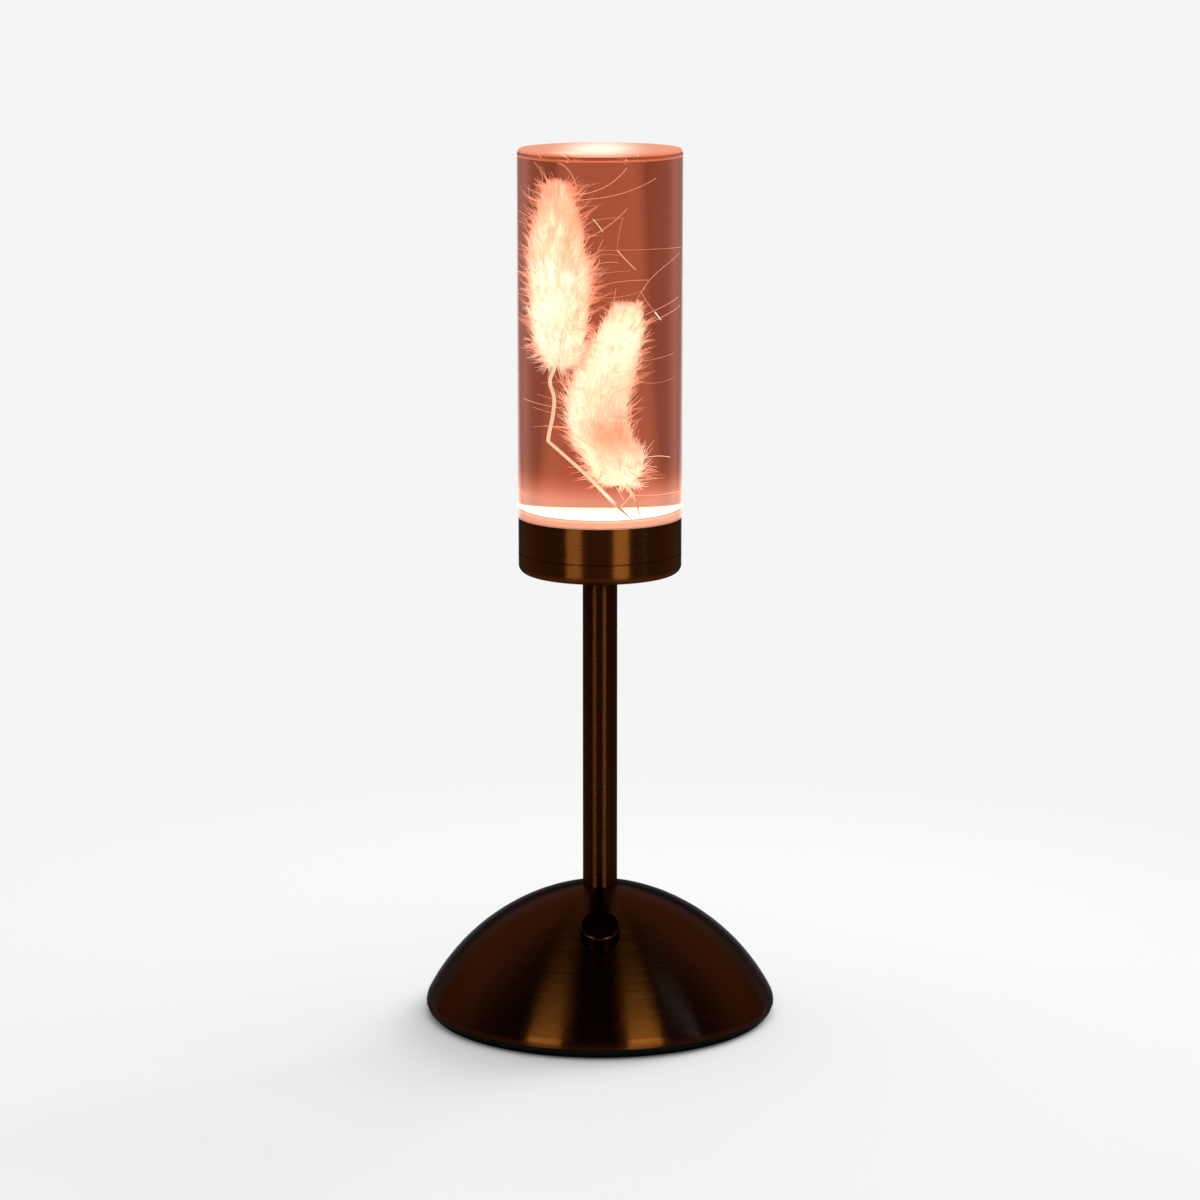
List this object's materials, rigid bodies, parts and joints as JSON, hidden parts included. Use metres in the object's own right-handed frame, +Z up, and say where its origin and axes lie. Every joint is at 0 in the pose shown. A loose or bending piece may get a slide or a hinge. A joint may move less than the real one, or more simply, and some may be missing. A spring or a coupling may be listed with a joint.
{
  "type": "table lamp",
  "caption": "Cordless table lamp: clear pink resin column with grass heads cast in, lit from a bronze collar, on a slim stem and weighted dome base with a push-and-turn dimmer knob.",
  "frame": {"origin": "centre of the foot pad's underside, on the table", "axes": "+Z up along the stem, knob on the front towards -Y, charge port at the rear towards +Y"},
  "size_m": [0.108, 0.108, 0.267],
  "materials": {
    "bronze": "brushed dark bronze, lacquered",
    "resin": "clear cast resin, warm pink",
    "dried_grass": "dried grass heads, downy",
    "opal": "opal diffuser, lit",
    "pad": "black foam rubber",
    "iron": "black painted cast iron",
    "zinc": "zinc plated steel",
    "brass": "plain brass",
    "white_plastic": "moulded, matt",
    "black_plastic": "moulded, fine grain",
    "white_board": "white coated aluminium board",
    "led": "phosphor light chips",
    "green_board": "coated circuit board",
    "cell": "foil pouch",
    "red_wire": "insulated wire",
    "black_wire": "insulated wire"
  },
  "bodies": {
    "lamp": {"foot_pad": "pad", "ballast_plate": "iron", "base_dome": "bronze", "stem_tube": "bronze", "lamp_pipe": "zinc", "lower_washer": "zinc", "lower_nut": "brass", "upper_washer": "zinc", "upper_nut": "brass", "wire_bush": "white_plastic", "collar_cap": "bronze", "collar_ring": "bronze", "led_board": "white_board", "led_chips": "led", "diffuser": "opal", "resin_block": "resin", "upper_tail": "dried_grass", "lower_tail": "dried_grass", "dimmer_bushing": "zinc", "dimmer_nut": "zinc", "dimmer_spacer": "white_plastic", "dimmer_case": "black_plastic", "snap_dome": "zinc", "dimmer_board": "green_board", "battery_cell": "cell", "battery_tape": "white_plastic", "charge_board": "green_board", "board_screws": "zinc", "charge_socket": "zinc", "port_bezel": "black_plastic", "led_lead_red": "red_wire", "led_lead_black": "black_wire", "supply_leads": "red_wire", "battery_leads": "red_wire"},
    "rotor": {"dimmer_rotor": "black_plastic"},
    "knob": {"knob": "bronze", "dimmer_shaft": "zinc"}
  },
  "joints": [
    {"name": "knob_turn", "type": "hinge", "parent": "lamp", "child": "rotor", "pos_m": [0, -0.03001, 0.03077], "axis": [0, -0.5299, 0.848], "continuous": true},
    {"name": "knob_push", "type": "slide", "parent": "rotor", "child": "knob", "axis": [0, 0.5299, -0.848], "range_m": [0, 0.0005], "stiffness_N_per_m": 800, "springref_m": -0.002}
  ]
}
